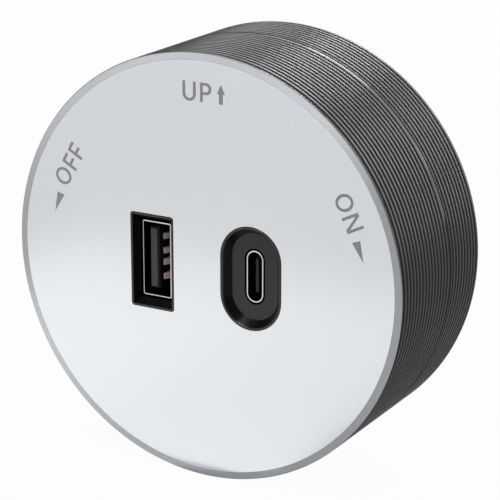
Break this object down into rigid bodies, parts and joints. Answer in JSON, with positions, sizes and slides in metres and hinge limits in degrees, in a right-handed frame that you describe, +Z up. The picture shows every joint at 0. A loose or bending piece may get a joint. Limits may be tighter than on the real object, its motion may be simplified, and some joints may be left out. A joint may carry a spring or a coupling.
{
  "type": "power track usb socket",
  "caption": "Round plug-in module for a power track, with a rectangular and an oval charging port in a flat silver face, and a ribbed black body that turns a quarter turn to lock.",
  "frame": {"origin": "on the turning axis, in the plane of the rear seat that lies on the track", "axes": "-Y out of the face towards the user, +Y into the track, +Z up in the way of the UP mark"},
  "size_m": [0.072, 0.045, 0.072],
  "materials": {
    "face_silver": "fine blasted satin, clear anodised",
    "rim_silver": "bead blasted silver paint",
    "grip_black": "fine textured moulding",
    "bezel_black": "satin moulding",
    "shell_steel": "bright nickel plate",
    "tongue_black": "matt moulding",
    "contact_copper": "copper alloy strip",
    "contact_gold": "gold flash",
    "board_green": "satin lacquer on laminate",
    "chip_black": "matt moulding",
    "pin_tin": "tin plate",
    "ferrite": "sintered, matt",
    "bobbin_cream": "moulded",
    "winding_copper": "lacquered wire",
    "capacitor_sleeve": "shrink sleeve",
    "film_yellow": "cast box",
    "fuse_black": "moulded box",
    "varistor_blue": "dipped",
    "chassis_grey": "moulded",
    "screw_steel": "zinc plate",
    "spindle_grey": "glass filled moulding",
    "bearing_bronze": "sintered bronze",
    "washer_white": "acetal",
    "spring_steel": "hardened strip",
    "rail_brass": "sprung brass strip",
    "wire_brown": "wire insulation",
    "wire_blue": "wire insulation",
    "wire_green": "wire insulation"
  },
  "bodies": {
    "track_base": {"rear_housing": "grip_black", "bearing_sleeve": "bearing_bronze", "thrust_washer": "washer_white", "disc_spring": "spring_steel", "stop_pin": "screw_steel"},
    "turning_unit": {"face_disc": "face_silver", "front_cover": "rim_silver", "front_housing": "grip_black", "usb_a_bezel": "bezel_black", "usb_a_shell": "shell_steel", "usb_a_insulator": "tongue_black", "usb_a_contacts": "contact_copper", "usb_c_bezel": "bezel_black", "usb_c_shell": "shell_steel", "usb_c_insulator": "tongue_black", "usb_c_contacts": "contact_gold", "usb_board": "board_green", "usb_board_screws": "screw_steel", "port_controllers": "chip_black", "link_pins": "pin_tin", "link_header": "chip_black", "power_board": "board_green", "transformer_core": "ferrite", "transformer_bobbin": "bobbin_cream", "transformer_winding": "winding_copper", "bulk_capacitors": "capacitor_sleeve", "output_capacitors": "capacitor_sleeve", "filter_capacitor": "film_yellow", "fuse": "fuse_black", "varistor": "varistor_blue", "choke_core": "ferrite", "choke_winding": "winding_copper", "power_chips": "chip_black", "chassis_cup": "chassis_grey", "cover_screws": "screw_steel", "contact_spindle": "spindle_grey", "spindle_screws": "screw_steel", "retaining_ring": "spring_steel", "contact_head": "spindle_grey", "head_screws": "screw_steel", "head_cap": "spindle_grey", "live_contact": "rail_brass", "neutral_contact": "rail_brass", "earth_contact": "rail_brass", "live_lead": "wire_brown", "neutral_lead": "wire_blue", "earth_lead": "wire_green"}
  },
  "joints": [
    {"name": "quarter_turn", "type": "hinge", "parent": "track_base", "child": "turning_unit", "pos_m": [0, 0, 0], "axis": [0, 1, 0], "range_deg": [0, 90]}
  ]
}
